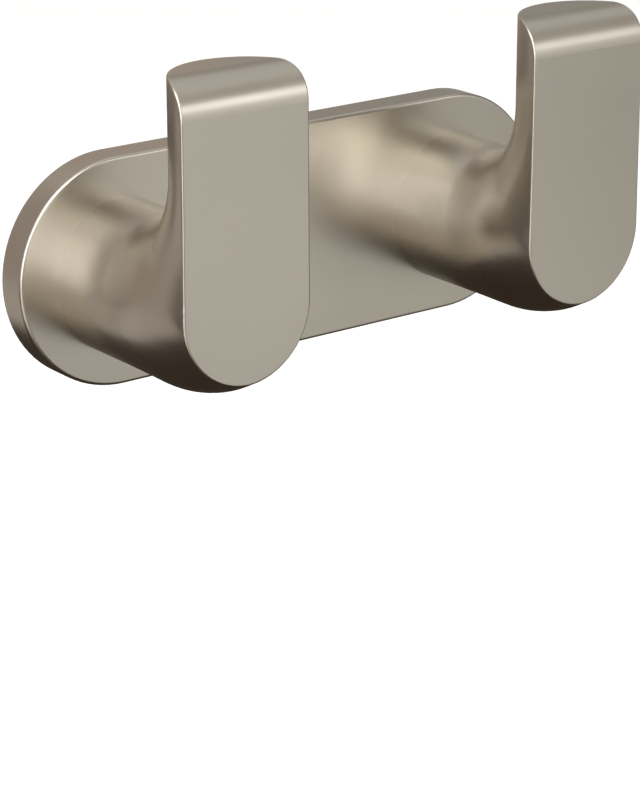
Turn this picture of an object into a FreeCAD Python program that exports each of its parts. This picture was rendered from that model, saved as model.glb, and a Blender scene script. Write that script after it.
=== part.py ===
import FreeCAD, Part
import math
import os

from FreeCAD import Vector

# A double robe hook: one casting with a stadium-shaped plate and two upturned hooks, and the
# concealed bracket, set screws, wall screws and wall plugs that hold it to a wall.
# X runs along the plate, +Y goes into the wall and Z is up. The wall is the plane Y = 0, and
# the origin is the middle of the plate's back. A depth is a distance out of the wall, so a
# point at depth d has Y = -d. All sizes are in millimetres and all angles in degrees.

# Plate
plate_length = 127.0
plate_height = 45.5
plate_depth = 6.4
plate_edge_round = 0.7
skin = 1.9
rim_wall = 2.75

# Hooks
projection = 47.7
hook_top = 46.2
paddle_width = 28.0
paddle_low_centre = 2.3
throat_radius = 13.7
belly_run = 14.7
roll_radius = 7.0
rim_round = 0.4

# Necks: how much further than half the paddle's width their sides, tops and under sides lie
# from the plate's middle, and how far inside the plate they start
neck_side_margin = 0.5
neck_top_margin = 0.5
neck_low_margin = 2.0
root_sink = 0.3

# Bends: how much wider than the neck they grow, the angle round the throat where they are
# widest, and how softly they end at the paddle's width
bend_swell = 1.5
widest_angle = 30.0
narrowing_power = 4

# Core holes in the necks, open to the pocket behind the plate
core_mouth_radius = 6.2
core_end_radius = 5.0
core_end_round = 2.5
core_front_wall = 9.0

# Bracket
sheet = 1.5
bracket_overrun = 5.25
bracket_end_gap = 0.5
flange_front_gap = 0.5
flange_splay = 12.0
bend_radius = 0.8
slot_width = 4.8
slot_length = 9.0
stud_hole_radius = 2.4
stud_hole_spacing = 20.0

# Wall screws
wall_screw_spacing = 60.0
screw_radius = 2.0
screw_length = 32.0
screw_tip_length = 4.0
screw_point_radius = 0.2
head_radius = 4.0
head_front_gap = 0.7
head_round = 1.38
cross_length = 4.0
cross_width = 0.9
cross_depth = 1.38

# Wall plugs
plug_radius = 4.0
plug_length = 28.0
plug_sink = 2.5
plug_collar_length = 8.0
plug_teeth = 6
plug_tooth_depth = 0.5
plug_slit = 1.0
plug_fit = 0.05

# Set screws and the bosses that they thread through
set_screw_spacing = 44.0
set_screw_radius = 1.5
set_screw_front_gap = 0.1
set_screw_recess = 0.5
set_screw_key = 1.5
set_screw_key_depth = 1.8
set_screw_point_radius = 0.6
set_screw_fit = 0.03
boss_width = 8.0
boss_height = 2.6
boss_back_gap = 0.4
boss_bracket_gap = 1.4

# How finely the hook's surface is stepped, and how near counts as on a plane
neck_steps = 6
bend_steps = 24
upright_steps = 10
turn_steps = 12
extra_turns = 3
near = 0.01

# Places and sizes worked out from the ones above
end_centre = (plate_length - plate_height) / 2
paddle_radius = paddle_width / 2
neck_half_width = paddle_radius + neck_side_margin
neck_above = paddle_radius + neck_top_margin
neck_below = paddle_radius + neck_low_margin
neck_reach = (neck_above + neck_below) / 2
neck_end = projection - paddle_radius - throat_radius
belly_start = projection - belly_run
pivot_height = neck_above + throat_radius
throat_to_belly = pivot_height + neck_below
pocket_depth = plate_depth - skin
pocket_top = plate_height / 2 - rim_wall
splay = math.tan(math.radians(flange_splay))
bracket_length = 2 * (end_centre + bracket_overrun)
bracket_foot = pocket_top - boss_height - boss_bracket_gap
flange_depth = pocket_depth - flange_front_gap
head_height = pocket_depth - sheet - head_front_gap
set_screw_depth = pocket_depth - set_screw_radius - set_screw_front_gap

out_of_wall = Vector(0, -1, 0)
up = Vector(0, 0, 1)


def at(x, depth, z):
    """A point given by its depth out of the wall."""
    return Vector(x, -depth, z)


def prism(points, direction):
    """A closed polygon pushed along a direction."""
    return Part.Face(Part.makePolygon(points + points[:1])).extrude(direction)


def block(width, height, depth_from, depth_to, x, z):
    """A box centred on x and z, between two depths."""
    return Part.makeBox(width, depth_to - depth_from, height, at(x - width / 2, depth_to, z - height / 2))


def rod(radius, depth_from, depth_to, x, z):
    """A round bar that points out of the wall, between two depths."""
    return Part.makeCylinder(radius, depth_to - depth_from, at(x, depth_from, z), out_of_wall)


def stadium(length, height, depth_from, depth_to, x=0):
    """A bar with full-round ends, between two depths."""
    straight = length - height
    middle = block(straight, height, depth_from, depth_to, x, 0)
    ends = [rod(height / 2, depth_from, depth_to, x + side * straight / 2, 0) for side in (-1, 1)]
    return middle.multiFuse(ends).removeSplitter()


def front_edges(shape, depth):
    """The edges that lie wholly on the plane at this depth or further out."""
    return [edge for edge in shape.Edges if edge.BoundBox.YMax < -depth + near]


def rim_half_width(z):
    """Half the paddle's width at a height on its front face."""
    below = max(paddle_low_centre - z, 0.0)
    return math.sqrt(max(paddle_radius ** 2 - below ** 2, 0.0))


def belly_line(angle):
    """Distance from the throat's centre to the neck's under side, or to the arc of the belly."""
    sine = math.sin(angle)
    cosine = math.cos(angle)
    across = belly_start - neck_end
    if angle <= math.atan2(across, throat_to_belly):
        return throat_to_belly / cosine
    rise = paddle_low_centre - paddle_radius + neck_below
    arc = (belly_run ** 2 + rise ** 2) / (2 * rise)
    down = throat_to_belly - arc
    along = across * sine + down * cosine
    off = across * cosine - down * sine
    return along + math.sqrt(arc ** 2 - off ** 2)


def half_width_at(angle):
    """Half the bar's width, at an angle round the throat: it swells, then narrows softly."""
    widest = math.radians(widest_angle)
    share = min(1.0, angle / widest)
    swell = bend_swell * share ** 2 * (3 - 2 * share)
    way = max(0.0, (angle - widest) / (math.pi / 2 - widest))
    remaining = (1 - way) ** narrowing_power * (1 + narrowing_power * way)
    return paddle_radius + (neck_half_width + swell - paddle_radius) * remaining


def section(angle):
    """Centre distance, reach and half width of the bar's oval, at an angle round the throat.

    The angle is 0 where the bar leaves the wall and 90 degrees where it stands upright. The
    oval touches the throat's circle on its inner side. Outside it follows the neck's under
    side, then the belly's arc, and from the paddle's lowest point on it is sized so that the
    plane of the front cuts it at the paddle's outline.
    """
    front = projection - neck_end
    half_width = half_width_at(angle)
    if angle <= math.atan2(front, pivot_height - paddle_low_centre + paddle_radius):
        reach = (belly_line(angle) - throat_radius) / 2
    else:
        cut = front / math.sin(angle)
        rim = rim_half_width(pivot_height - cut * math.cos(angle))
        reach = (cut - throat_radius) / (1 + math.sqrt(1 - (rim / half_width) ** 2))
    return throat_radius + reach, reach, half_width


def stations():
    """Ovals along the bar, as middle, outward direction, reach and half width."""
    root = plate_depth - root_sink
    for step in range(neck_steps):
        depth = root + (neck_end - root) * step / neck_steps
        yield at(0, depth, neck_above - neck_reach), -up, neck_reach, neck_half_width
    for step in range(bend_steps + 1):
        angle = math.pi / 2 * step / bend_steps
        centre, reach, half_width = section(angle)
        outward = out_of_wall * math.sin(angle) - up * math.cos(angle)
        yield at(0, neck_end, pivot_height) + outward * centre, outward, reach, half_width
    upright = hook_top - pivot_height + rim_wall
    for step in range(1, upright_steps + 1):
        height = pivot_height + upright * step / upright_steps
        yield at(0, projection, height), out_of_wall, paddle_radius, paddle_radius


def half_skin():
    """The bar's surface on the +X side, from its outermost line to its innermost.

    The points run a little past both lines, so that the surface crosses them squarely, and
    the surface is then cut back to them.
    """
    rows = []
    for middle, outward, reach, half_width in stations():
        row = []
        for step in range(-extra_turns, turn_steps + extra_turns + 1):
            turn = math.pi * step / turn_steps
            row.append(middle + outward * (reach * math.cos(turn))
                       + Vector(half_width * math.sin(turn), 0, 0))
        rows.append(row)
    surface = Part.BSplineSurface()
    surface.interpolate(rows)
    outermost = surface.parameter(rows[0][extra_turns])[1]
    innermost = surface.parameter(rows[0][extra_turns + turn_steps])[1]
    surface.segment(0, 1, outermost, innermost)
    return surface.toShape()


def flat_end(halves, direction):
    """The flat end that closes the bar, square to Y or Z."""
    rims = [edge for half in halves for edge in half.Edges
            if getattr(edge.BoundBox, direction + "Length") < near]
    return Part.Face(Part.Wire(rims))


def hook_bar():
    """The round bar of one hook: out of the wall, round the throat and straight up."""
    right = half_skin()
    halves = [right, right.mirror(Vector(0, 0, 0), Vector(1, 0, 0))]
    shell = Part.makeShell(halves + [flat_end(halves, "Y"), flat_end(halves, "Z")])
    shell.sewShape()
    return Part.makeSolid(shell)


def side_profile():
    """The space behind the flat front, under the rolled-back top."""
    roll_depth = projection - roll_radius
    roll_height = hook_top - roll_radius
    diagonal = roll_radius * math.sqrt(0.5)
    left = -2 * paddle_width
    low = -plate_height
    corner = at(left, projection, roll_height)
    crest = at(left, roll_depth, hook_top)
    middle = at(left, roll_depth + diagonal, roll_height + diagonal)
    edges = [Part.makeLine(at(left, 0, low), at(left, projection, low)),
             Part.makeLine(at(left, projection, low), corner),
             Part.Arc(corner, middle, crest).toShape(),
             Part.makeLine(crest, at(left, 0, hook_top)),
             Part.makeLine(at(left, 0, hook_top), at(left, 0, low))]
    return Part.Face(Part.Wire(edges)).extrude(Vector(4 * paddle_width, 0, 0))


def on_rim(edge):
    """True for the edges round the paddle's face, beside its roll and round the top's back."""
    box = edge.BoundBox
    across = box.XLength > paddle_radius and box.YLength < near and box.ZLength < near
    top = box.ZMin > hook_top - near
    face = box.YMax < -projection + near
    roll = box.ZMin > hook_top - roll_radius - near and box.YMax < -projection + roll_radius + near
    return (top or face or roll) and not across


def hook():
    """One hook on the middle plane, cut flat in front and rolled back at the top."""
    shape = hook_bar().common(side_profile())
    return shape.makeFillet(rim_round, [edge for edge in shape.Edges if on_rim(edge)])


def plate():
    """The solid plate, its front edge softly rounded."""
    shape = stadium(plate_length, plate_height, 0, plate_depth)
    return shape.makeFillet(plate_edge_round, front_edges(shape, plate_depth))


def core(x):
    """The tapered hole that the casting's core pin leaves in a neck."""
    end = projection - core_front_wall
    cone = Part.makeCone(core_mouth_radius, core_end_radius, end - pocket_depth,
                         at(x, pocket_depth, 0), out_of_wall)
    return cone.makeFillet(core_end_round, front_edges(cone, end))


def flange_line(depth, foot):
    """Height of a splayed flange's outer side, from the height where it leaves the wall."""
    return foot + depth * splay


def pocket():
    """The hollow behind the plate, with the splayed ledge that hangs on the bracket."""
    hollow = stadium(plate_length - 2 * rim_wall, plate_height - 2 * rim_wall, 0, pocket_depth)
    half = bracket_length / 2 + bracket_end_gap
    ledge = prism([at(-half, 0, pocket_top - sheet), at(-half, 0, pocket_top),
                   at(-half, pocket_depth, flange_line(pocket_depth, pocket_top)),
                   at(-half, pocket_depth, pocket_top - sheet)], Vector(2 * half, 0, 0))
    return hollow.fuse(ledge)


def boss(x):
    """The block of metal behind the plate's lower edge that a set screw threads through."""
    height = boss_height + rim_wall / 2
    return block(boss_width, height, boss_back_gap, pocket_depth, x,
                 boss_height - pocket_top - height / 2)


def set_screw_bore(x):
    """The hole through the plate's lower edge and its boss."""
    length = 2 * (rim_wall + boss_height)
    return Part.makeCylinder(set_screw_radius + set_screw_fit, length,
                             at(x, set_screw_depth, -plate_height / 2 - length / 2), up)


def hook_body():
    """The casting: plate and both hooks, pocketed and cored from behind."""
    sides = (-1, 1)
    hooks = []
    for side in sides:
        copy = hook()
        copy.translate(Vector(side * end_centre, 0, 0))
        hooks.append(copy)
    body = plate().multiFuse(hooks).cut(pocket())
    body = body.cut(Part.makeCompound([core(side * end_centre) for side in sides]))
    body = body.multiFuse([boss(side * set_screw_spacing / 2) for side in sides]).removeSplitter()
    for side in sides:
        body = body.cut(set_screw_bore(side * set_screw_spacing / 2))
    return body


def flange_outline(foot):
    """Outline of one splayed flange, as depths and heights, from the back round to the strip."""
    wall = sheet / math.cos(math.radians(flange_splay))
    return [(0, flange_line(0, foot)),
            (flange_depth, flange_line(flange_depth, foot)),
            (flange_depth, flange_line(flange_depth, foot) - wall),
            (sheet, flange_line(sheet, foot) - wall)]


def wall_bracket():
    """A steel strip with both long edges bent out of the wall and splayed apart."""
    outline = flange_outline(pocket_top)
    outline += [(depth, -height) for depth, height in reversed(flange_outline(bracket_foot))]
    strip = prism([at(-bracket_length / 2, depth, height) for depth, height in outline],
                  Vector(bracket_length, 0, 0))
    for depth, radius in ((sheet, bend_radius), (0, bend_radius + sheet)):
        bends = [edge for edge in strip.Edges if edge.Length > bracket_length - near
                 and abs(edge.BoundBox.YMin + depth) < near and abs(edge.BoundBox.YMax + depth) < near]
        strip = strip.makeFillet(radius, bends)
    middle = (pocket_top - bracket_foot) / 2
    for side in (-1, 1):
        strip = strip.cut(stadium(slot_length, slot_width, -sheet, 2 * sheet, side * wall_screw_spacing / 2))
        strip = strip.cut(rod(stud_hole_radius, -sheet, 2 * sheet, 0, middle + side * stud_hole_spacing / 2))
    return strip


def set_screw(x):
    """A headless screw with a hex socket below and a cut-back point above."""
    low = set_screw_recess - plate_height / 2
    high = -flange_line(set_screw_depth + set_screw_point_radius, bracket_foot) - set_screw_fit
    point = set_screw_radius - set_screw_point_radius
    barrel = Part.makeCylinder(set_screw_radius, high - low - point, at(x, set_screw_depth, low), up)
    cone = Part.makeCone(set_screw_radius, set_screw_point_radius, point,
                         at(x, set_screw_depth, high - point), up)
    reach = set_screw_key / math.sqrt(3)
    turns = [math.radians(corner) for corner in range(0, 360, 60)]
    corners = [at(x + reach * math.cos(turn), set_screw_depth + reach * math.sin(turn), low)
               for turn in turns]
    return barrel.fuse(cone).removeSplitter().cut(prism(corners, up * set_screw_key_depth))


def wall_screw(x):
    """A pan-head wood screw with a cross recess, its fine thread left off."""
    front = sheet + head_height
    head = rod(head_radius, sheet, front, x, 0)
    head = head.makeFillet(head_round, front_edges(head, front))
    tip_start = sheet - screw_length + screw_tip_length
    shank = rod(screw_radius, tip_start, sheet, x, 0)
    tip = Part.makeCone(screw_radius, screw_point_radius, screw_tip_length,
                        at(x, tip_start, 0), -out_of_wall)
    screw = head.multiFuse([shank, tip]).removeSplitter()
    for width, height in ((cross_length, cross_width), (cross_width, cross_length)):
        screw = screw.cut(block(width, height, front - cross_depth, front, x, 0))
    return screw


def wall_anchor(x):
    """A plastic wall plug: a plain collar, then toothed legs split crosswise."""
    bore = screw_radius + plug_fit
    root = plug_radius - plug_tooth_depth
    pitch = (plug_length - plug_collar_length) / plug_teeth
    outline = [(0, bore), (0, plug_radius), (plug_collar_length, plug_radius)]
    for tooth in range(plug_teeth):
        start = plug_collar_length + tooth * pitch
        outline += [(start, root), (start + pitch, plug_radius)]
    outline[-1] = (plug_length, root)
    outline.append((plug_length, bore))
    points = [at(x + radius, -plug_sink - into, 0) for into, radius in outline]
    plug = Part.Face(Part.makePolygon(points + points[:1])).revolve(at(x, 0, 0), out_of_wall, 360)
    legs = (-plug_sink - 2 * plug_length, -plug_sink - plug_collar_length)
    for width, height in ((2 * plug_radius, plug_slit), (plug_slit, 2 * plug_radius)):
        plug = plug.cut(block(width, height, legs[0], legs[1], x, 0))
    return plug


def save(name, shape):
    """Writes one piece under its own name."""
    shape.exportStep("parts/" + name + ".step")


if __name__ == "__main__":
    os.makedirs("parts", exist_ok=True)
    save("hook_body", hook_body())
    save("wall_bracket", wall_bracket())
    for name_end, side_sign in (("left", -1), ("right", 1)):
        save("set_screw_" + name_end, set_screw(side_sign * set_screw_spacing / 2))
        save("wall_screw_" + name_end, wall_screw(side_sign * wall_screw_spacing / 2))
        save("wall_anchor_" + name_end, wall_anchor(side_sign * wall_screw_spacing / 2))
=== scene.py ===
import math

import bpy
from bpy.props import FloatProperty, FloatVectorProperty, PointerProperty
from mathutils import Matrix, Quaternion, Vector


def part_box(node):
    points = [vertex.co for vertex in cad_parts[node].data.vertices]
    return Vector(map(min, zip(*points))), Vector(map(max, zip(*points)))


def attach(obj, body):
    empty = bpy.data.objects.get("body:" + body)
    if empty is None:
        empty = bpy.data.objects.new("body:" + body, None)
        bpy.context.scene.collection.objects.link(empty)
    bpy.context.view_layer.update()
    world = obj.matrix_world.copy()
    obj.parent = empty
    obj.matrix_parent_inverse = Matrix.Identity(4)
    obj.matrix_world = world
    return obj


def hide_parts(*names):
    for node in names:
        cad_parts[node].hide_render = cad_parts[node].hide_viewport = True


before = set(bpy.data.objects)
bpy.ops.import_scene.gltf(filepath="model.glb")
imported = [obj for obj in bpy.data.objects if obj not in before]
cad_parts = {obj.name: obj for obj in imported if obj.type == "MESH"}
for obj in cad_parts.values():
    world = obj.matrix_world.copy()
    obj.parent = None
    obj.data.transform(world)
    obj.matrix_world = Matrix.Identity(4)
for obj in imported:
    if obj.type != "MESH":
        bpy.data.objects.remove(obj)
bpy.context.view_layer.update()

bl_info = {
    "name": "Double Robe Hook",
    "version": (1, 0, 0),
    "blender": (4, 5, 0),
    "location": "3D View > Sidebar > Robe Hook",
    "description": "Finishes, fixings, studio and camera for a double robe hook",
    "category": "Object",
}

MILLIMETRE = 0.001
NEAR = 0.01 * MILLIMETRE

# Threads: steps a turn, how much of a pitch the thread's foot and its crest take, turns wound
# past both ends, how near a cut is exact, and how much wider the blank is than the thread
THREAD_STEPS = 32
THREAD_FOOT = 0.76
THREAD_LAND = 0.1
SPARE_TURNS = 3
CUT_SNAP = 0.001 * MILLIMETRE
BLANK_SHARE = 1.03

# Screws: sides of round parts and of the socket, and steps of the head's rounded rim
ROUND_SIDES = 64
KEY_SIDES = 6
HEAD_STEPS = 8

# Screws: how thick the tip's end and how wide the recess's foot are, as shares of the full
# size, how straight a face looks along an arm of the cross, and the least angle of a corner
# that stays sharp
TIP_SHARE = 0.08
CROSS_FOOT = 0.6
STRAIGHT_ON = 0.9
SHARP_CORNER = math.radians(35)

# Patterns, in grains a metre, and how deep they are
PLATING_CLOUDS = 45.0
BLAST_GRAIN = 4000.0
BLAST_DEPTH = 0.002 * MILLIMETRE
ZINC_CLOUDS = 120.0
SHEET_LINES = (60.0, 1500.0, 1500.0)
WIRE_LINES = (1500.0, 100.0, 1500.0)
LINE_DEPTH = 0.004 * MILLIMETRE
OIL_PATCHES = 900.0
TURNING_MARKS = (800.0, 800.0, 5000.0)
MARK_DEPTH = 0.003 * MILLIMETRE
PIGMENT_MOTTLE = 250.0
MOULD_PEEL = 2500.0
PEEL_DEPTH = 0.02 * MILLIMETRE

# Tints, and the lowest and highest roughness or shade of each surface
BLUE_TINT = (0.95, 0.99, 1.05)
STRAW_TINT = (1.05, 1.01, 0.93)
NICKEL_SWING = 0.02
ZINC_ROUGHNESS = (0.27, 0.42)
STEEL_ROUGHNESS = (0.22, 0.38)
NYLON_ROUGHNESS = (0.42, 0.58)
NYLON_SHADES = (0.93, 1.07)
NYLON_IOR = 1.53

# Noises: how fine and how rough their detail is, and the middle of their range
NOISE_DETAIL = 2.0
BLAST_DETAIL = 3.0
NOISE_ROUGHNESS = 0.6
NOISE_LOW = 0.3
NOISE_HIGH = 0.7

# Sockets of a colour mix, which share their names with its other sockets
MIX_SHARE = 0
MIX_ONE = 6
MIX_OTHER = 7
MIX_RESULT = 2


def linear(colour):
    """An sRGB hex colour as linear red, green, blue and alpha."""
    channels = [int(colour[place:place + 2], 16) / 255 for place in (1, 3, 5)]
    turned = [c / 12.92 if c <= 0.04045 else ((c + 0.055) / 1.055) ** 2.4 for c in channels]
    return (*turned, 1.0)


# Sizes and colours that a user would change

class FinishSettings(bpy.types.PropertyGroup):
    """Colours and roughness of the surfaces."""

    nickel_colour: FloatVectorProperty(
        name="Nickel colour",
        description="Colour of the satin nickel plating",
        default=linear("#BAB4A8")[:3],
        subtype="COLOR",
        min=0,
        max=1,
    )
    nickel_roughness: FloatProperty(
        name="Nickel roughness",
        description="How soft the plating's reflections are",
        default=0.3,
        min=0,
        max=1,
        subtype="FACTOR",
    )
    zinc_colour: FloatVectorProperty(
        name="Zinc colour",
        description="Colour of the bright zinc plating on bracket and screws",
        default=linear("#CDD0D3")[:3],
        subtype="COLOR",
        min=0,
        max=1,
    )
    steel_colour: FloatVectorProperty(
        name="Stainless colour",
        description="Colour of the turned set screws",
        default=linear("#ADAAA6")[:3],
        subtype="COLOR",
        min=0,
        max=1,
    )
    nylon_colour: FloatVectorProperty(
        name="Nylon colour",
        description="Colour of the moulded wall plugs",
        default=linear("#8E9194")[:3],
        subtype="COLOR",
        min=0,
        max=1,
    )


class WallScrewSettings(bpy.types.PropertyGroup):
    """Sizes of the pan-head wall screws."""

    crest: FloatProperty(
        name="Thread radius",
        description="Radius over the thread",
        default=2.0 * MILLIMETRE,
        unit="LENGTH",
    )
    core: FloatProperty(
        name="Core radius",
        description="Radius at the bottom of the thread",
        default=1.3 * MILLIMETRE,
        unit="LENGTH",
    )
    pitch: FloatProperty(
        name="Pitch",
        description="Distance from one turn of the thread to the next",
        default=1.8 * MILLIMETRE,
        unit="LENGTH",
    )
    head_height: FloatProperty(
        name="Head height",
        description="Height of the pan head",
        default=2.3 * MILLIMETRE,
        unit="LENGTH",
    )
    head_round: FloatProperty(
        name="Head round",
        description="Radius of the head's rounded rim",
        default=1.38 * MILLIMETRE,
        unit="LENGTH",
    )
    tip_length: FloatProperty(
        name="Tip length",
        description="Length of the pointed end",
        default=4.0 * MILLIMETRE,
        unit="LENGTH",
    )
    cross_length: FloatProperty(
        name="Cross length",
        description="Length of the recess across the head",
        default=4.0 * MILLIMETRE,
        unit="LENGTH",
    )
    cross_width: FloatProperty(
        name="Cross width",
        description="Width of the recess's slots",
        default=0.9 * MILLIMETRE,
        unit="LENGTH",
    )
    cross_depth: FloatProperty(
        name="Cross depth",
        description="Depth of the recess",
        default=1.38 * MILLIMETRE,
        unit="LENGTH",
    )


class SetScrewSettings(bpy.types.PropertyGroup):
    """Sizes of the headless set screws."""

    core: FloatProperty(
        name="Core radius",
        description="Radius at the bottom of the thread",
        default=1.2 * MILLIMETRE,
        unit="LENGTH",
    )
    pitch: FloatProperty(
        name="Pitch",
        description="Distance from one turn of the thread to the next",
        default=0.5 * MILLIMETRE,
        unit="LENGTH",
    )
    mouth_bevel: FloatProperty(
        name="End bevel",
        description="Bevel at the end with the socket",
        default=0.3 * MILLIMETRE,
        unit="LENGTH",
    )
    point_bevel: FloatProperty(
        name="Point bevel",
        description="Bevel that leaves the small flat point",
        default=0.9 * MILLIMETRE,
        unit="LENGTH",
    )
    key: FloatProperty(
        name="Key size",
        description="Hex key that fits the socket, across its flats",
        default=1.5 * MILLIMETRE,
        unit="LENGTH",
    )
    key_depth: FloatProperty(
        name="Socket depth",
        description="Depth of the hex socket",
        default=1.8 * MILLIMETRE,
        unit="LENGTH",
    )


class StudioSettings(bpy.types.PropertyGroup):
    """Camera, floor and light."""

    camera_place: FloatVectorProperty(
        name="Camera place",
        description="Where the camera stands",
        default=(-0.33378, -0.45484, 0.16180),
        subtype="TRANSLATION",
        unit="LENGTH",
    )
    camera_direction: FloatVectorProperty(
        name="Camera direction",
        description="Where the camera looks",
        default=(0.5706, 0.7512, -0.3315),
        subtype="DIRECTION",
    )
    camera_roll: FloatProperty(
        name="Camera roll",
        description="Turn of the camera about its own line of sight",
        default=math.radians(-0.091),
        subtype="ANGLE",
        unit="ROTATION",
    )
    lens: FloatProperty(
        name="Lens",
        description="Focal length on a sensor 36 mm wide, in millimetres",
        default=131.4,
        min=10,
    )
    floor_drop: FloatProperty(
        name="Floor drop",
        description="How far the floor lies below the middle of the plate",
        default=0.25,
        unit="LENGTH",
        min=0.05,
    )
    floor_colour: FloatVectorProperty(
        name="Floor colour",
        description="Colour of the pale floor",
        default=linear("#E6E4E0")[:3],
        subtype="COLOR",
        min=0,
        max=1,
    )


# Materials

def add_node(tree, kind, inputs=None, **settings):
    """Adds a node, sets its properties, and sets or links its inputs."""
    node = tree.nodes.new(kind)
    for name, value in settings.items():
        setattr(node, name, value)
    for name, value in (inputs or {}).items():
        socket = node.inputs[name]
        if isinstance(value, bpy.types.NodeSocket):
            tree.links.new(value, socket)
        else:
            socket.default_value = value
    return node


def blank_material(name):
    """An empty node material and its tree."""
    material = bpy.data.materials.new(name)
    material.use_nodes = True
    material.node_tree.nodes.clear()
    return material, material.node_tree


def noise(tree, place, scale, detail=NOISE_DETAIL):
    """A noise of so many grains a metre, from 0 to 1."""
    return add_node(
        tree,
        "ShaderNodeTexNoise",
        {"Vector": place, "Scale": scale, "Detail": detail, "Roughness": NOISE_ROUGHNESS},
    ).outputs["Fac"]


def spread(tree, value, low, high):
    """Spreads the middle of a noise over a range."""
    ends = {"From Min": NOISE_LOW, "From Max": NOISE_HIGH, "To Min": low, "To Max": high}
    return add_node(tree, "ShaderNodeMapRange", {"Value": value, **ends}).outputs["Result"]


def own_place(tree):
    """Object coordinates, in metres."""
    return add_node(tree, "ShaderNodeTexCoord").outputs["Object"]


def stretched(tree, scales):
    """Object coordinates scaled apart along X, Y and Z."""
    inputs = {"Vector": own_place(tree), "Scale": scales}
    return add_node(tree, "ShaderNodeMapping", inputs).outputs["Vector"]


def tinted(tree, share, one, other):
    """A colour between two, by a share from 0 to 1."""
    inputs = {MIX_SHARE: share, MIX_ONE: (*one, 1.0), MIX_OTHER: (*other, 1.0)}
    return add_node(tree, "ShaderNodeMix", inputs, data_type="RGBA").outputs[MIX_RESULT]


def surface_output(tree, inputs, grain, depth):
    """Ends a material: its surface, with a grain of some depth in metres."""
    bump = add_node(tree, "ShaderNodeBump", {"Height": grain, "Strength": 1.0, "Distance": depth})
    inputs = {**inputs, "Normal": bump.outputs["Normal"]}
    surface = add_node(tree, "ShaderNodeBsdfPrincipled", inputs)
    add_node(tree, "ShaderNodeOutputMaterial", {"Surface": surface.outputs["BSDF"]})


def satin_nickel(finish):
    """Zinc die casting, blasted fine and plated with satin nickel.

    The eye gets a warm grey metal with soft reflections, a shade duller in clouds some
    centimetres wide, and close up the fine sparkle of the blasting.
    """
    material, tree = blank_material("satin_nickel_plated_zinc")
    place = own_place(tree)
    clouds = noise(tree, place, PLATING_CLOUDS)
    # The blasted grain is about 0.1 mm; it is drawn at 0.25 mm, as fine as it shows.
    grain = noise(tree, place, BLAST_GRAIN, BLAST_DETAIL)
    middle = finish.nickel_roughness
    roughness = spread(tree, clouds, middle - NICKEL_SWING, middle + NICKEL_SWING)
    inputs = {"Base Color": (*finish.nickel_colour, 1.0), "Metallic": 1.0, "Roughness": roughness}
    surface_output(tree, inputs, grain, BLAST_DEPTH)
    return material


def zinc_plated_steel(finish, name, scales):
    """Steel with bright zinc plating, its rolled or drawn lines stretched along one axis.

    The eye gets a cool, fairly bright metal with fine long lines and the faint blue and
    straw tints of its passivation.
    """
    material, tree = blank_material(name)
    lines = noise(tree, stretched(tree, scales), 1.0)
    clouds = spread(tree, noise(tree, own_place(tree), ZINC_CLOUDS), 0.0, 1.0)
    zinc = Vector(finish.zinc_colour)
    inputs = {
        "Base Color": tinted(tree, clouds, zinc * Vector(BLUE_TINT), zinc * Vector(STRAW_TINT)),
        "Metallic": 1.0,
        "Roughness": spread(tree, lines, *ZINC_ROUGHNESS),
    }
    surface_output(tree, inputs, lines, LINE_DEPTH)
    return material


def turned_stainless_steel(finish):
    """Stainless steel bar, turned, with its thread rolled.

    The eye gets a neutral grey metal, polished on the crests and duller in patches where
    the turning oil dried.
    """
    material, tree = blank_material("turned_stainless_steel")
    # Turning marks are about 0.05 mm apart; they are drawn at 0.2 mm, as fine as they show.
    marks = noise(tree, stretched(tree, TURNING_MARKS), 1.0)
    patches = noise(tree, own_place(tree), OIL_PATCHES)
    inputs = {
        "Base Color": (*finish.steel_colour, 1.0),
        "Metallic": 1.0,
        "Roughness": spread(tree, patches, *STEEL_ROUGHNESS),
    }
    surface_output(tree, inputs, marks, MARK_DEPTH)
    return material


def moulded_nylon(finish):
    """Injection-moulded grey nylon.

    The eye gets a dull plastic with a soft mottle, where the pigment has flowed, and the
    light orange peel of the mould's spark-eroded wall.
    """
    material, tree = blank_material("moulded_grey_nylon")
    place = own_place(tree)
    mottle = spread(tree, noise(tree, place, PIGMENT_MOTTLE), 0.0, 1.0)
    peel = noise(tree, place, MOULD_PEEL)
    dark, light = (Vector(finish.nylon_colour) * shade for shade in NYLON_SHADES)
    inputs = {
        "Base Color": tinted(tree, mottle, dark, light),
        "Roughness": spread(tree, peel, *NYLON_ROUGHNESS),
        "IOR": NYLON_IOR,
    }
    surface_output(tree, inputs, peel, PEEL_DEPTH)
    return material


def finish_node(name, material):
    """Gives a CAD node its material."""
    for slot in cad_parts[name].material_slots:
        slot.material = material


# Modelling by hand

def select_only(piece):
    """Makes one piece the only one selected, and the active one."""
    bpy.ops.object.select_all(action="DESELECT")
    piece.select_set(True)
    bpy.context.view_layer.objects.active = piece


def edit(piece, mode, test):
    """Opens a piece for editing with the vertices, edges or faces selected that pass a test."""
    select_only(piece)
    bpy.context.tool_settings.mesh_select_mode = [mode == kind for kind in ("VERT", "EDGE", "FACE")]
    bpy.ops.object.mode_set(mode="EDIT")
    bpy.ops.mesh.select_all(action="DESELECT")
    bpy.ops.object.mode_set(mode="OBJECT")
    mesh = piece.data
    parts = {"VERT": mesh.vertices, "EDGE": mesh.edges, "FACE": mesh.polygons}[mode]
    for part in parts:
        part.select = test(part)
    bpy.ops.object.mode_set(mode="EDIT")


def leave_edit():
    """Closes the piece that is being edited."""
    bpy.ops.object.mode_set(mode="OBJECT")


def edge_height(piece, edge):
    """Height of the middle of an edge."""
    return sum(piece.data.vertices[end].co.z for end in edge.vertices) / 2


def is_level(piece, edge):
    """True for an edge whose ends are at one height."""
    low, high = (piece.data.vertices[end].co.z for end in edge.vertices)
    return abs(low - high) < NEAR


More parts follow.
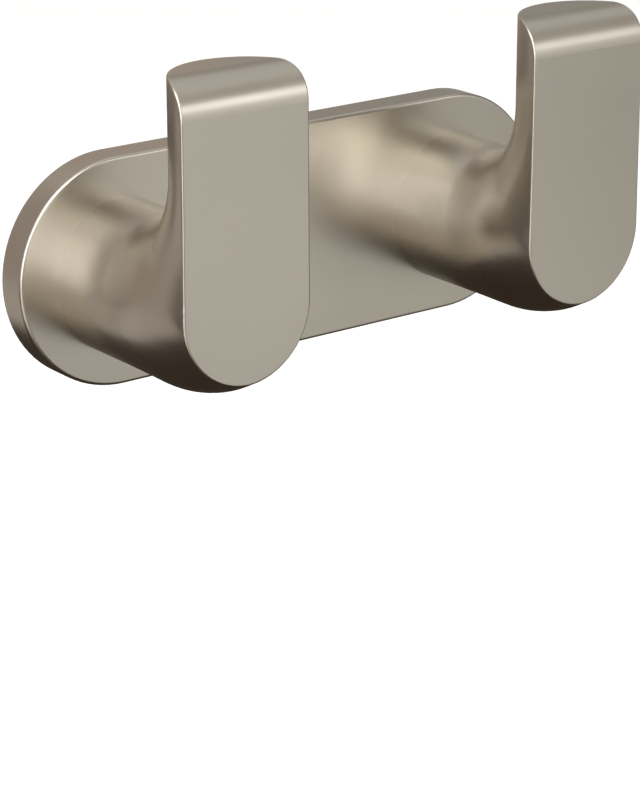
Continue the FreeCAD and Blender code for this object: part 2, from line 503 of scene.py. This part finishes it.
def combine(piece, tool, operation):
    """Joins a piece with a tool, cuts it by the tool or keeps what they share, and drops the tool."""
    select_only(piece)
    boolean = piece.modifiers.new("combine", "BOOLEAN")
    boolean.object = tool
    boolean.operation = operation
    boolean.solver = "EXACT"
    bpy.ops.object.modifier_apply(modifier=boolean.name)
    select_only(tool)
    bpy.ops.object.delete()


def draw_line(points):
    """An open line in the XZ plane, drawn out of one vertex through points of radius and height."""
    bpy.ops.object.select_all(action="DESELECT")
    bpy.ops.mesh.primitive_plane_add(size=MILLIMETRE)
    line = bpy.context.object
    edit(line, "VERT", lambda vertex: True)
    bpy.ops.mesh.merge(type="CENTER")
    here = Vector((points[0][0], 0.0, points[0][1]))
    bpy.ops.transform.translate(value=here)
    for radius, height in points[1:]:
        there = Vector((radius, 0.0, height))
        bpy.ops.mesh.extrude_region_move(TRANSFORM_OT_translate={"value": there - here})
        here = there
    leave_edit()
    return line


def threaded_rod(core, crest, pitch, start, end):
    """A rod along Z between two heights, with one sharp thread wound round it."""
    flank = THREAD_FOOT * pitch / 2
    land = THREAD_LAND * pitch / 2
    middle = start - pitch
    rod = draw_line([
        (core, middle - pitch / 2),
        (core, middle - flank),
        (crest, middle - land),
        (crest, middle + land),
        (core, middle + flank),
        (core, middle + pitch / 2),
    ])
    select_only(rod)
    winding = rod.modifiers.new("winding", "SCREW")
    winding.axis = "Z"
    winding.screw_offset = pitch
    winding.iterations = math.ceil((end - start) / pitch) + SPARE_TURNS
    winding.steps = THREAD_STEPS
    winding.render_steps = THREAD_STEPS
    bpy.ops.object.modifier_apply(modifier=winding.name)
    edit(rod, "VERT", lambda vertex: True)
    bpy.ops.mesh.remove_doubles(threshold=NEAR)
    for height, up in ((start, -1.0), (end, 1.0)):
        bpy.ops.mesh.select_all(action="SELECT")
        bpy.ops.mesh.bisect(
            plane_co=(0.0, 0.0, height),
            plane_no=(0.0, 0.0, up),
            use_fill=True,
            clear_outer=True,
            threshold=CUT_SNAP,
        )
    bpy.ops.mesh.select_all(action="SELECT")
    bpy.ops.mesh.normals_make_consistent(inside=False)
    leave_edit()
    return rod


def taper_tip(rod, start, end, tip_length):
    """Draws the last stretch of a rod between two heights in to a point."""
    bpy.ops.object.empty_add(location=(0.0, 0.0, end - tip_length))
    tip_start = bpy.context.object
    select_only(rod)
    taper = rod.modifiers.new("taper", "SIMPLE_DEFORM")
    taper.deform_method = "TAPER"
    taper.deform_axis = "Z"
    taper.origin = tip_start
    taper.limits = (1 - tip_length / (end - start), 1)
    taper.factor = TIP_SHARE - 1
    bpy.ops.object.modifier_apply(modifier=taper.name)
    select_only(tip_start)
    bpy.ops.object.delete()


def cross_cutter(screw):
    """A cross for cutting the recess down into the head, narrower at its foot."""
    top = -screw.head_height
    reach = (screw.cross_length - screw.cross_width) / 2
    bpy.ops.object.select_all(action="DESELECT")
    bpy.ops.mesh.primitive_cube_add(size=screw.cross_width)
    cutter = bpy.context.object
    for along in (Vector((1, 0, 0)), Vector((0, 1, 0)), Vector((-1, 0, 0)), Vector((0, -1, 0))):

        def is_arm_end(face, along=along):
            aside = face.center - along * face.center.dot(along)
            return face.normal.dot(along) > STRAIGHT_ON and aside.length < NEAR

        edit(cutter, "FACE", is_arm_end)
        bpy.ops.mesh.extrude_region_move(TRANSFORM_OT_translate={"value": along * reach})
        leave_edit()
    edit(cutter, "VERT", lambda vertex: True)
    bpy.ops.transform.resize(value=(1.0, 1.0, 2 * screw.cross_depth / screw.cross_width))
    bpy.ops.transform.translate(value=(0.0, 0.0, top))
    leave_edit()
    edit(cutter, "VERT", lambda vertex: vertex.co.z > top)
    bpy.ops.transform.resize(value=(CROSS_FOOT, CROSS_FOOT, 1.0), center_override=(0.0, 0.0, 0.0))
    leave_edit()
    return cutter


def pan_head(screw, radius):
    """A round head that stands below zero on Z, its rim rounded over."""
    top = -screw.head_height
    bpy.ops.object.select_all(action="DESELECT")
    bpy.ops.mesh.primitive_cylinder_add(
        vertices=ROUND_SIDES,
        radius=radius,
        depth=-top,
        location=(0.0, 0.0, top / 2),
    )
    head = bpy.context.object
    bpy.ops.object.transform_apply(location=True, rotation=False, scale=False)
    edit(head, "EDGE", lambda edge: is_level(head, edge) and edge_height(head, edge) < top / 2)
    bpy.ops.mesh.bevel(offset=screw.head_round, segments=HEAD_STEPS)
    leave_edit()
    return head


def bevelled_blank(screw, radius, length):
    """The plain rod that a set screw's thread is cut on, bevelled at its socket and its point."""
    bpy.ops.object.select_all(action="DESELECT")
    bpy.ops.mesh.primitive_cylinder_add(
        vertices=ROUND_SIDES,
        radius=radius,
        depth=length,
        location=(0.0, 0.0, length / 2),
    )
    blank = bpy.context.object
    bpy.ops.object.transform_apply(location=True, rotation=False, scale=False)
    for bevel, height in ((screw.mouth_bevel, 0.0), (screw.point_bevel, length)):
        edit(
            blank,
            "EDGE",
            lambda edge, height=height: is_level(blank, edge)
            and abs(edge_height(blank, edge) - height) < NEAR,
        )
        bpy.ops.mesh.bevel(offset=bevel, segments=1)
        leave_edit()
    return blank


def hex_cutter(screw):
    """A six-sided rod for cutting a socket up from zero."""
    bpy.ops.object.select_all(action="DESELECT")
    bpy.ops.mesh.primitive_cylinder_add(
        vertices=KEY_SIDES,
        radius=screw.key / math.sqrt(3),
        depth=2 * screw.key_depth,
        location=(0.0, 0.0, 0.0),
    )
    return bpy.context.object


def smooth_round(piece):
    """Shades a piece smooth except at its sharp corners."""
    select_only(piece)
    bpy.ops.object.shade_smooth_by_angle(angle=SHARP_CORNER)


def move_into_place(piece, turn, place):
    """Turns a piece about X and carries it to its place, with both kept in its mesh."""
    piece.rotation_euler = (turn, 0.0, 0.0)
    piece.location = place
    select_only(piece)
    bpy.ops.object.transform_apply(location=True, rotation=True, scale=True)


def copy_aside(piece, name, shift):
    """A copy of a piece with a mesh of its own, shifted."""
    select_only(piece)
    bpy.ops.object.duplicate()
    copy = bpy.context.object
    copy.name = name
    copy.location = shift
    bpy.ops.object.transform_apply(location=True, rotation=False, scale=False)
    return copy


def stand_for(piece, node):
    """Puts a modelled piece in the place of its CAD node."""
    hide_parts(node)
    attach(piece, "root")


# Stage

# Strengths of the world's light and of the floor's own shine
WORLD_LIGHT = 0.6
FLOOR_SHINE = 0.45

# Camera: width of its sensor in millimetres, and the nearest that it sees in metres
SENSOR_WIDTH = 36.0
NEAREST_SEEN = 0.01

# Sizes, distances and heights in metres, and the tones of the two big level cards: the ceiling's
# painted light and the floor's painted shade, seen only in the metal
FLOOR_SIZE = 8.0
STAGE_REACH = 1.2
PAPER_GAP = 0.005
CEILING_HEIGHT = 1.15
CEILING_SIZE = 2.2
CEILING_TONE = "#DFDEDC"
PAINTED_SHADE_FLOOR_TONE = "#3A3027"

# Turn of a card that lies level, and plain white
LEVEL = (0.0, 0.0, 0.0)
WHITE = (1.0, 1.0, 1.0, 1.0)

# Name, azimuth and height angle from the hook in degrees, width and height in metres, tone
# and strength. An azimuth of 0 is straight into the wall and 90 is to the right.
LAMPS = (
    ("key_lamp", -135, 15, 0.64, 1.10, "#F3F4FF", 3.4),
    ("top_lamp", -135, 62, 1.20, 0.80, "#FFFFFF", 4.0),
    ("roll_lamp", 146, 19, 0.44, 0.34, "#FFFFFF", 1.55),
)

# Name, azimuth, distance, width, height, height of the middle, and tone. Each card glows at its tone
# as painted light and shade of a room that only the metal sees. The grey flag hangs above the roll
# lamp and gives the hooks' rolled tops a painted shade in their reflection.
WALL_CARDS = (
    ("left_wall", -72, STAGE_REACH, 0.85, 1.40, 0.44, "#A39790"),
    ("back_left_wall", -29, STAGE_REACH, 0.95, 1.40, 0.44, "#B3A69E"),
    ("back_wall", 15, STAGE_REACH, 0.95, 1.40, 0.44, "#BBADA3"),
    ("back_right_wall", 57, STAGE_REACH, 0.95, 1.40, 0.44, "#A7A29C"),
    ("right_wall", 95, STAGE_REACH, 0.85, 1.40, 0.44, "#8A8C8E"),
    ("front_right_wall", 124, STAGE_REACH, 0.55, 1.10, 0.30, "#D5D3CE"),
    ("grey_painted_shade_flag", 134, 0.9, 0.90, 0.60, 0.80, "#C0BBB4"),
)

# Name, azimuth, nearest and furthest distance, width, tone and strength. Each strip glows on the dark
# floor card as painted light on the floor that only the metal sees, brightest as a pool under the key
# lamp.
PAINTED_LIGHT_FLOOR_STRIPS = (
    ("painted_key_light_pool", -135, 0.30, 1.20, 0.55, "#FFF6EA", 1.25),
    ("floor_back_left", -42, 0.35, 1.20, 0.60, "#C8C0B9", 1.0),
    ("floor_right", 122, 0.25, 1.20, 0.45, "#A8A69E", 1.0),
    ("floor_front_right", 152, 0.50, 1.20, 0.50, "#FBFAF8", 1.0),
)


def background_share(tree):
    """1 for rays that see the background straight, in metal or through glass, and 0 for light."""
    path = add_node(tree, "ShaderNodeLightPath")
    seen = add_node(
        tree,
        "ShaderNodeMath",
        {0: path.outputs["Is Camera Ray"], 1: path.outputs["Is Glossy Ray"]},
        operation="MAXIMUM",
    )
    return add_node(
        tree,
        "ShaderNodeMath",
        {0: seen.outputs[0], 1: path.outputs["Is Transmission Ray"]},
        operation="MAXIMUM",
    ).outputs[0]


def white_room():
    """A world that is plain white to look at and lights the object softly."""
    world = bpy.data.worlds.new("white_room")
    world.use_nodes = True
    tree = world.node_tree
    tree.nodes.clear()
    level = add_node(
        tree,
        "ShaderNodeMapRange",
        {"Value": background_share(tree), "To Min": WORLD_LIGHT, "To Max": 1.0},
    )
    light = add_node(
        tree,
        "ShaderNodeBackground",
        {"Color": WHITE, "Strength": level.outputs["Result"]},
    )
    add_node(tree, "ShaderNodeOutputWorld", {"Surface": light.outputs["Background"]})
    bpy.context.scene.world = world


def pale_floor(studio):
    """A pale floor that looks white and still takes the object's shadow."""
    bpy.ops.mesh.primitive_plane_add(size=FLOOR_SIZE, location=(0.0, 0.0, -studio.floor_drop))
    floor = bpy.context.object
    floor.name = "floor"
    material, tree = blank_material("pale_floor_paint")
    paint = add_node(tree, "ShaderNodeBsdfDiffuse", {"Color": (*studio.floor_colour, 1.0)})
    lift = add_node(
        tree,
        "ShaderNodeMapRange",
        {"Value": background_share(tree), "To Min": 0.0, "To Max": FLOOR_SHINE},
    )
    shine = add_node(
        tree,
        "ShaderNodeEmission",
        {"Color": WHITE, "Strength": lift.outputs["Result"]},
    )
    both = add_node(tree, "ShaderNodeAddShader", {0: paint.outputs[0], 1: shine.outputs[0]})
    add_node(tree, "ShaderNodeOutputMaterial", {"Surface": both.outputs[0]})
    floor.data.materials.append(material)


def outward(azimuth, height_angle):
    """The direction away from the hook at an azimuth and a height angle, in degrees."""
    turn = math.radians(azimuth)
    rise = math.radians(height_angle)
    return Vector((math.sin(turn) * math.cos(rise), math.cos(turn) * math.cos(rise), math.sin(rise)))


def soft_lamp(name, azimuth, height_angle, width, height, tone, strength):
    """A rectangular soft lamp that the camera doesn't see; a strength of 1 looks white."""
    bpy.ops.object.light_add(type="AREA")
    lamp = bpy.context.object
    lamp.name = name
    lamp.data.shape = "RECTANGLE"
    lamp.data.size = width
    lamp.data.size_y = height
    lamp.data.color = linear(tone)[:3]
    lamp.data.energy = strength * math.pi * width * height
    lamp.visible_camera = False
    lamp.location = outward(azimuth, height_angle) * STAGE_REACH
    lamp.rotation_euler = lamp.location.to_track_quat("Z", "Y").to_euler()


def glowing_card_paint(name, tone, strength):
    """A glowing paint at a tone that shows in the metal whatever light falls on it: painted light and
    shade for its reflections.
    """
    material, tree = blank_material(name)
    light = add_node(tree, "ShaderNodeEmission", {"Color": linear(tone), "Strength": strength})
    add_node(tree, "ShaderNodeOutputMaterial", {"Surface": light.outputs["Emission"]})
    return material


def card(name, place, width, height, turn, tone, strength=1.0):
    """A glowing card that only shows as a reflection in the metal, its tone painted light and shade
    of the room.
    """
    bpy.ops.mesh.primitive_plane_add(size=1.0, location=place, rotation=turn)
    paper = bpy.context.object
    paper.name = name
    paper.scale = (width, height, 1.0)
    paper.visible_camera = False
    paper.visible_diffuse = False
    paper.visible_shadow = False
    paper.visible_transmission = False
    paper.data.materials.append(glowing_card_paint(name + "_paper", tone, strength))


def glowing_card_room(studio):
    """Glowing cards for the grey walls, the ceiling and the dark floor that the metal reflects, as
    painted light and shade.
    """
    for name, azimuth, distance, width, height, middle, tone in WALL_CARDS:
        place = outward(azimuth, 0.0) * distance
        place.z = middle
        turn = (math.pi / 2, 0.0, -math.radians(azimuth))
        card(name, place, width, height, turn, tone)
    # The ceiling card glows as painted light from above, seen only in the metal.
    card("ceiling", (0.0, 0.0, CEILING_HEIGHT), CEILING_SIZE, CEILING_SIZE, LEVEL, CEILING_TONE)
    # The dark floor card is painted shade below the hooks, dark in the metal while the real floor
    # stays pale.
    floor_height = 2 * PAPER_GAP - studio.floor_drop
    floor_size = 2 * STAGE_REACH
    card("painted_shade_floor_card", (0.0, 0.0, floor_height), floor_size, floor_size, LEVEL, PAINTED_SHADE_FLOOR_TONE)
    # Strips of painted light on the dark floor card, a pool of it under the key lamp.
    for name, azimuth, near_end, far_end, width, tone, strength in PAINTED_LIGHT_FLOOR_STRIPS:
        place = outward(azimuth, 0.0) * (near_end + far_end) / 2
        place.z = floor_height + PAPER_GAP
        turn = (0.0, 0.0, -math.radians(azimuth))
        card(name, place, width, far_end - near_end, turn, tone, strength)


def place_camera(studio):
    """The camera that sees the hook as the picture does."""
    camera = bpy.data.objects.new("camera", bpy.data.cameras.new("camera"))
    bpy.context.collection.objects.link(camera)
    aim = Vector(studio.camera_direction).to_track_quat("-Z", "Y")
    roll = Quaternion((0.0, 0.0, 1.0), studio.camera_roll)
    camera.rotation_mode = "QUATERNION"
    camera.rotation_quaternion = aim @ roll
    camera.location = studio.camera_place
    camera.data.sensor_width = SENSOR_WIDTH
    camera.data.lens = studio.lens
    camera.data.clip_start = NEAREST_SEEN
    bpy.context.scene.camera = camera


# Operators

class ROBE_HOOK_OT_casting(bpy.types.Operator):
    """Finish the casting: plate and both hooks in satin nickel"""

    bl_idname = "robe_hook.casting"
    bl_label = "Finish Casting"

    def execute(self, context):
        finish_node("hook_body", satin_nickel(context.scene.robe_hook_finish))
        return {"FINISHED"}


class ROBE_HOOK_OT_bracket(bpy.types.Operator):
    """Finish the pressed wall bracket in zinc-plated steel"""

    bl_idname = "robe_hook.bracket"
    bl_label = "Finish Bracket"

    def execute(self, context):
        finish = context.scene.robe_hook_finish
        sheet = zinc_plated_steel(finish, "rolled_zinc_plated_sheet", SHEET_LINES)
        finish_node("wall_bracket", sheet)
        return {"FINISHED"}


class ROBE_HOOK_OT_wall_screws(bpy.types.Operator):
    """Model the two pan-head wall screws with their threads"""

    bl_idname = "robe_hook.wall_screws"
    bl_label = "Model Wall Screws"

    def execute(self, context):
        screw = context.scene.robe_hook_wall_screw
        low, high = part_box("wall_screw_left")
        length = high.y - low.y - screw.head_height
        root = -screw.head_height / 2
        rod = threaded_rod(screw.core, screw.crest, screw.pitch, root, length)
        taper_tip(rod, root, length, screw.tip_length)
        left = pan_head(screw, (high.x - low.x) / 2)
        combine(left, rod, "UNION")
        combine(left, cross_cutter(screw), "DIFFERENCE")
        left.name = "threaded_wall_screw_left"
        smooth_round(left)
        place = Vector(((low.x + high.x) / 2, high.y - length, (low.z + high.z) / 2))
        move_into_place(left, -math.pi / 2, place)
        finish = context.scene.robe_hook_finish
        left.data.materials.append(zinc_plated_steel(finish, "drawn_zinc_plated_wire", WIRE_LINES))
        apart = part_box("wall_screw_right")[0] - low
        right = copy_aside(left, "threaded_wall_screw_right", apart)
        stand_for(left, "wall_screw_left")
        stand_for(right, "wall_screw_right")
        return {"FINISHED"}


class ROBE_HOOK_OT_set_screws(bpy.types.Operator):
    """Model the two set screws with their threads and hex sockets"""

    bl_idname = "robe_hook.set_screws"
    bl_label = "Model Set Screws"

    def execute(self, context):
        screw = context.scene.robe_hook_set_screw
        low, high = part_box("set_screw_left")
        length = high.z - low.z
        radius = (high.x - low.x) / 2
        left = threaded_rod(screw.core, radius, screw.pitch, -screw.pitch, length + screw.pitch)
        combine(left, bevelled_blank(screw, BLANK_SHARE * radius, length), "INTERSECT")
        combine(left, hex_cutter(screw), "DIFFERENCE")
        left.name = "threaded_set_screw_left"
        smooth_round(left)
        place = Vector(((low.x + high.x) / 2, (low.y + high.y) / 2, low.z))
        move_into_place(left, 0.0, place)
        left.data.materials.append(turned_stainless_steel(context.scene.robe_hook_finish))
        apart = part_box("set_screw_right")[0] - low
        right = copy_aside(left, "threaded_set_screw_right", apart)
        stand_for(left, "set_screw_left")
        stand_for(right, "set_screw_right")
        return {"FINISHED"}


class ROBE_HOOK_OT_wall_plugs(bpy.types.Operator):
    """Finish the two wall plugs in moulded nylon"""

    bl_idname = "robe_hook.wall_plugs"
    bl_label = "Finish Wall Plugs"

    def execute(self, context):
        nylon = moulded_nylon(context.scene.robe_hook_finish)
        for name in ("wall_anchor_left", "wall_anchor_right"):
            finish_node(name, nylon)
        return {"FINISHED"}


class ROBE_HOOK_OT_studio(bpy.types.Operator):
    """Build the floor, the white room, the lamps, the glowing cards of painted reflections and the
    camera
    """

    bl_idname = "robe_hook.studio"
    bl_label = "Build Studio"

    def execute(self, context):
        studio = context.scene.robe_hook_studio
        white_room()
        pale_floor(studio)
        for lamp in LAMPS:
            soft_lamp(*lamp)
        glowing_card_room(studio)
        place_camera(studio)
        context.scene.view_settings.view_transform = "Standard"
        return {"FINISHED"}


class ROBE_HOOK_PT_panel(bpy.types.Panel):
    """Lists what builds the hook's looks"""

    bl_idname = "ROBE_HOOK_PT_panel"
    bl_label = "Robe Hook"
    bl_space_type = "VIEW_3D"
    bl_region_type = "UI"
    bl_category = "Robe Hook"

    def draw(self, context):
        for operator in OPERATORS:
            self.layout.operator(operator.bl_idname)


SETTINGS = {
    "robe_hook_finish": FinishSettings,
    "robe_hook_wall_screw": WallScrewSettings,
    "robe_hook_set_screw": SetScrewSettings,
    "robe_hook_studio": StudioSettings,
}
OPERATORS = (
    ROBE_HOOK_OT_casting,
    ROBE_HOOK_OT_bracket,
    ROBE_HOOK_OT_wall_screws,
    ROBE_HOOK_OT_set_screws,
    ROBE_HOOK_OT_wall_plugs,
    ROBE_HOOK_OT_studio,
)


def register():
    for item in (*SETTINGS.values(), *OPERATORS, ROBE_HOOK_PT_panel):
        bpy.utils.register_class(item)
    for name, group in SETTINGS.items():
        setattr(bpy.types.Scene, name, PointerProperty(type=group))


def unregister():
    for name in SETTINGS:
        delattr(bpy.types.Scene, name)
    for item in (ROBE_HOOK_PT_panel, *OPERATORS, *SETTINGS.values()):
        bpy.utils.unregister_class(item)


def main():
    """Runs every operator in order."""
    register()
    bpy.ops.robe_hook.casting()
    bpy.ops.robe_hook.bracket()
    bpy.ops.robe_hook.wall_screws()
    bpy.ops.robe_hook.set_screws()
    bpy.ops.robe_hook.wall_plugs()
    bpy.ops.robe_hook.studio()


if __name__ == "__main__":
    main()
